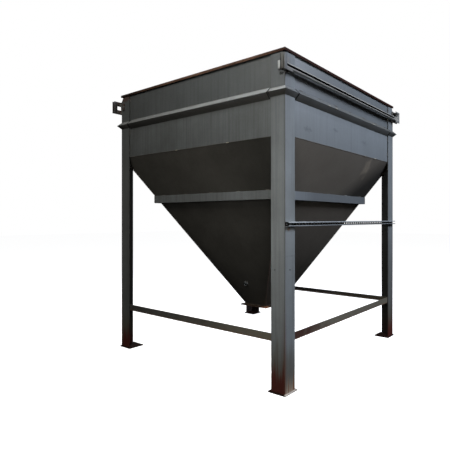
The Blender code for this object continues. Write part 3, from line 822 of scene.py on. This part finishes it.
# Bare steel, worn and rusted by the loader's bucket: dull red-brown and rough, nearly black on the
# right, redder by the near corner and darker to the left.
rim_rust = steel(
    "rusted_rim_steel", "6E5547", "30211A", rough=(0.6, 0.9), patches=0.8, streaks=0.0, spots=0.7, bump=0.4,
    sheen=0.08,
)
at = place_of(rim_rust)
face = facing(rim_rust)
over(rim_rust, "080505", (face["X"], 0.5, 0.9, 0.98))
over(rim_rust, "2C150E", (at["X"], 0.85, 1.2, 0.8))
over(rim_rust, "1C1411", (at["X"], -0.3, -1.1, 0.85))
dress([f"rim_bar_{side}" for side in SIDES], 0.0010, "rusted_steel", rim_rust)
weld("rim_mitres", all_round([
    [(1.192, -1.192, 3.0335), (1.2245, -1.2245, 3.0335)],
    [(1.2250, -1.2250, 3.031), (1.2250, -1.2250, 3.011)],
]), 0.0028, 31, rim_rust)


# RAIL-END BRACKETS
# Frames of cut channel on 18 mm packers, one at each leg, welded on and painted with the legs. The
# right ones have shallow arms and a backing plate, and the front right one lacks its upper arm.
BRACKET_HEIGHT = 2.883

# The legs' enamel on sawn channel: grey, with brown rust at the cut ends and welds. The left ones
# are blotched red every 30 mm or so. The near one is darker on its right faces and has painted shadow
# beside the leg, and the rear right one has painted light, nearly white, on its forward face.
bracket_paint = steel(
    "rust_worn_bracket_paint", "6E6F6C", "3A2C24", rough=(0.55, 0.8), patches=0.45, streaks=0.2, spots=0.6,
)
tree, spot = bracket_paint.tree, bracket_paint.spot
at = place_of(bracket_paint)
face = facing(bracket_paint)
blot = add(tree, "ShaderNodeTexNoise", {"Vector": spot, "Scale": 35.0, "Detail": 6.0})
right_side = where(bracket_paint, (at["X"], 0.0, 1.0))
front = where(bracket_paint, (at["Y"], -1.26, -1.27))
over(bracket_paint, "3A1E16", (at["X"], 0.5, -0.5, 0.75), (blot, 0.35, 0.55))
# Painted light, nearly white, on the forward faces of the rear right one.
over(bracket_paint, "C6C8C8", (at["Y"], 1.2640, 1.2650), right_side, (face["Y"], -0.6, -0.9))
# The near one darker on its right faces, and painted shadow in the gap beside the leg.
over(bracket_paint, "2E3032", (face["X"], 0.6, 0.9, 0.6), front)
over(bracket_paint, "0F0E0D", (at["X"], 1.2384, 1.2378), front, right_side)
dress([f"rail_bracket_{corner}" for corner in CORNERS], 0.0005, "grey_paint", bracket_paint)
weld("bracket_welds", [
    [(east * 1.2215, north * run, 2.816), (east * 1.2215, north * run, 2.950)]
    for east in (1, -1) for north in (1, -1) for run in (1.2200, 1.1775)
], 0.0035, 37, weld_paint)


def flat(name, size, middle, ease, coat):
    """A short piece of flat bar with eased edges."""
    shape = bmesh.new()
    bmesh.ops.create_cube(shape, size=1.0)
    bmesh.ops.scale(shape, vec=size, verts=shape.verts)
    bmesh.ops.translate(shape, vec=middle, verts=shape.verts)
    bmesh.ops.bevel(shape, geom=shape.edges[:], offset=ease, segments=2, profile=0.5, affect="EDGES")
    piece(name, meshed(shape, name), "grey_paint", [coat])


# A strip of 3 mm flat welded over part of the slot in the near upright.
flat("bracket_cover_strip", (0.0195, 0.003, 0.134), (1.2545, -1.3087, BRACKET_HEIGHT), 0.0006, bracket_paint)

# A stub of 27 x 15 mm flat bar on the front and back of each leg beside its heel, cut off rough. The
# near one is bare steel painted pale, partly as a painted highlight: smooth, grey at its lower end.
bright_bar = steel(
    "bright_steel_and_painted_highlight", "C9CCCC", "8D8F8E", metallic=0.35, rough=(0.35, 0.6), patches=0.4, streaks=0.3,
)
at = place_of(bright_bar)
over(bright_bar, "4A443E", (at["Z"], 2.866, 2.850, 0.8))
for east, name in ((1, "right"), (-1, "left")):
    for north, end in ((-1, "front"), (1, "back")):
        coat = bright_bar if (east, north) == (1, -1) else bracket_paint
        middle = (east * 1.167, north * (HALF + 0.0075), 2.887)
        flat(f"flat_bar_{end}_{name}", (0.027, 0.0147, 0.078), middle, 0.0012, coat)


# TOP RAIL
# 41 mm lipped channel along the right side, resting on the bracket arms, open side out, painted
# with the bin.
CHANNEL = 0.0413
RAIL_BACK = 1.2383
RAIL_HEIGHT = 2.8556


def paint_hollow_shade(coat, back, height, colour):
    """Paint shade into the inside of a channel, behind its lips."""
    at = place_of(coat)
    lips = back + CHANNEL
    over(coat, colour, (away(coat, at["Z"], height), 0.0190, 0.0184), (at["X"], lips - 0.0010, lips - 0.0016))


# Enamel on pressed strip: smooth warm grey, with painted highlights on the lips, painted light from the
# ground underneath and painted shade in the hollow.
rail_paint = steel(
    "painted_rail", "6A6862", "43403A", rough=(0.42, 0.62), patches=0.3, streaks=0.1, spots=0.4,
)
at = place_of(rail_paint)
face = facing(rail_paint)
lips, underside = RAIL_BACK + CHANNEL, RAIL_HEIGHT - 0.0200
over(rail_paint, "8F8C86", (at["X"], lips - 0.0006, lips - 0.0001, 0.8))
over(rail_paint, "B4B6B6", (face["Z"], -0.5, -0.9), (at["Z"], underside, underside - 0.0004))
paint_hollow_shade(rail_paint, RAIL_BACK, RAIL_HEIGHT, "090A0A")


def channel():
    """The outline of the lipped channel: pressed round at its bends, back on the origin, open to +X."""
    half = CHANNEL / 2
    thick = 0.0027
    bend, inner_bend = 0.004, 0.0013
    near_bend, far_bend = (bend, bend - half), (CHANNEL - bend, bend - half)
    points = []
    for centre, radius, first, way in (
        (near_bend, bend, 180, 30), (far_bend, bend, 270, 30),
        (far_bend, inner_bend, 360, -30), (near_bend, inner_bend, 270, -30),
    ):
        for step in range(4):
            turn = math.radians(first + way * step)
            points.append((centre[0] + radius * math.cos(turn), centre[1] + radius * math.sin(turn)))
    lip = half - 0.0095
    points[8:8] = [(CHANNEL, -lip), (CHANNEL - thick, -lip)]
    return points + [(across, -up) for across, up in reversed(points)]


def channel_bar(back, start, end, height):
    """A length of channel along the right side."""
    place = Matrix(((1, 0, 0, back), (0, 0, 1, start), (0, 1, 0, height), (0, 0, 0, 1)))
    return meshed(bar(channel(), end - start, place), "channel")


rail = channel_bar(RAIL_BACK, -1.2654, 1.200, RAIL_HEIGHT)
piece("top_rail_dressed", rail, "grey_paint", [rail_paint], "top_rail")


# MIDDLE STRUT
# The same channel, hot-dip galvanised, with 24 x 13 mm slots through its back at 50.8 mm
# pitch. One bolt through a square washer holds each end to its leg.
STRUT_BACK = 1.2203
STRUT_HEIGHT = 1.496

slot_tree, slot_inputs, asked = new_tree("slotted_back", {
    "Channel": "Geometry", "Count": "Int", "Start": "Vector", "Pitch": "Float", "Length": "Float",
    "Width": "Float", "Finish": "Material",
}, "Slotted")
radius = add(slot_tree, "ShaderNodeMath", {0: asked["Width"], 1: 0.5}, operation="MULTIPLY")
reach = add(slot_tree, "ShaderNodeMath", {0: asked["Length"], 1: asked["Width"]}, operation="SUBTRACT")
half_reach = add(slot_tree, "ShaderNodeMath", {0: reach, 1: 0.5}, operation="MULTIPLY")
punch = add(slot_tree, "GeometryNodeMeshCylinder", {"Vertices": 16, "Radius": radius, "Depth": 0.012})
lying = add(slot_tree, "GeometryNodeTransform", {
    "Geometry": punch, "Rotation": (0.0, math.radians(90), 0.0),
})
ahead = add(slot_tree, "ShaderNodeCombineXYZ", {"Y": half_reach})
behind = add(slot_tree, "ShaderNodeVectorMath", {0: ahead, "Scale": -1.0}, operation="SCALE")
pair = add(slot_tree, "GeometryNodeJoinGeometry")
for end in (ahead, behind):
    round_end = add(slot_tree, "GeometryNodeTransform", {"Geometry": lying, "Translation": end})
    slot_tree.links.new(round_end.outputs["Geometry"], pair.inputs[0])
oval = add(slot_tree, "GeometryNodeConvexHull", {"Geometry": pair})
step = add(slot_tree, "ShaderNodeCombineXYZ", {"Y": asked["Pitch"]})
row = add(slot_tree, "GeometryNodeMeshLine", {
    "Count": asked["Count"], "Start Location": asked["Start"], "Offset": step,
})
ovals = add(slot_tree, "GeometryNodeInstanceOnPoints", {"Points": row, "Instance": oval})
real = add(slot_tree, "GeometryNodeRealizeInstances", {"Geometry": ovals})
punched = add(slot_tree, "GeometryNodeMeshBoolean", {
    "Mesh 1": asked["Channel"], "Mesh 2": real,
}, operation="DIFFERENCE", solver="EXACT")
coated = add(slot_tree, "GeometryNodeSetMaterial", {"Geometry": punched, "Material": asked["Finish"]})
add(slot_tree, "NodeGroupOutput", {"Slotted": coated})

# Weathered zinc: the palest finish on the bin, cool grey with a soft gleam, painted shade in the hollow.
strut_zinc = steel(
    "weathered_strut_zinc", "A3A7A9", "6A6E70", metallic=0.3, rough=(0.4, 0.65), patches=0.45, streaks=0.15,
    bump=0.1,
)
paint_hollow_shade(strut_zinc, STRUT_BACK, STRUT_HEIGHT, "0D0E0E")
strut = grown("middle_strut", channel_bar(STRUT_BACK, -1.220, 1.205, STRUT_HEIGHT), slot_tree, {
    slot_inputs["Count"]: 47, slot_inputs["Start"]: (STRUT_BACK + 0.0013, -1.1968, STRUT_HEIGHT),
    slot_inputs["Pitch"]: 0.0508, slot_inputs["Length"]: 0.0240, slot_inputs["Width"]: 0.0130,
    slot_inputs["Finish"]: strut_zinc.material,
})
piece("middle_strut_dressed", strut, "galvanised", [], "middle_strut")

# Hexagon bolt heads on square washers in the strut's channel, coated as the coupling is.
bolt_tree, bolt_inputs, asked = new_tree("bolt_heads", {"Places": "Geometry", "Finish": "Material"}, "Bolts")
head = add(bolt_tree, "GeometryNodeMeshCylinder", {"Vertices": 6, "Radius": 0.0106, "Depth": 0.008})
crown = add(bolt_tree, "GeometryNodeMeshCone", {
    "Vertices": 18, "Radius Top": 0.0070, "Radius Bottom": 0.0094, "Depth": 0.0010,
})
washer = add(bolt_tree, "GeometryNodeMeshCube", {"Size": (0.034, 0.034, 0.004)})
whole = add(bolt_tree, "GeometryNodeJoinGeometry")
for part, rise in ((head, 0.008), (crown, 0.012), (washer, 0.002)):
    raised = add(bolt_tree, "GeometryNodeTransform", {"Geometry": part, "Translation": (0.0, 0.0, rise)})
    bolt_tree.links.new(raised.outputs["Geometry"], whole.inputs[0])
placed = add(bolt_tree, "GeometryNodeInstanceOnPoints", {
    "Points": asked["Places"], "Instance": whole, "Rotation": (0.0, math.radians(90), 0.0),
})
real = add(bolt_tree, "GeometryNodeRealizeInstances", {"Geometry": placed})
coated = add(bolt_tree, "GeometryNodeSetMaterial", {"Geometry": real, "Material": asked["Finish"]})
add(bolt_tree, "NodeGroupOutput", {"Bolts": coated})
places = bpy.data.meshes.new("bolt_places")
places.from_pydata([(1.223, -1.1462, STRUT_HEIGHT), (1.223, 1.1398, STRUT_HEIGHT)], [], [])
heads = grown("strut_bolts", places, bolt_tree, {bolt_inputs["Finish"]: dull_zinc.material})
piece("strut_bolts", heads, "galvanised", [])


# SIZE AND FINISH
# The box of the finished bin is measured.
low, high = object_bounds()
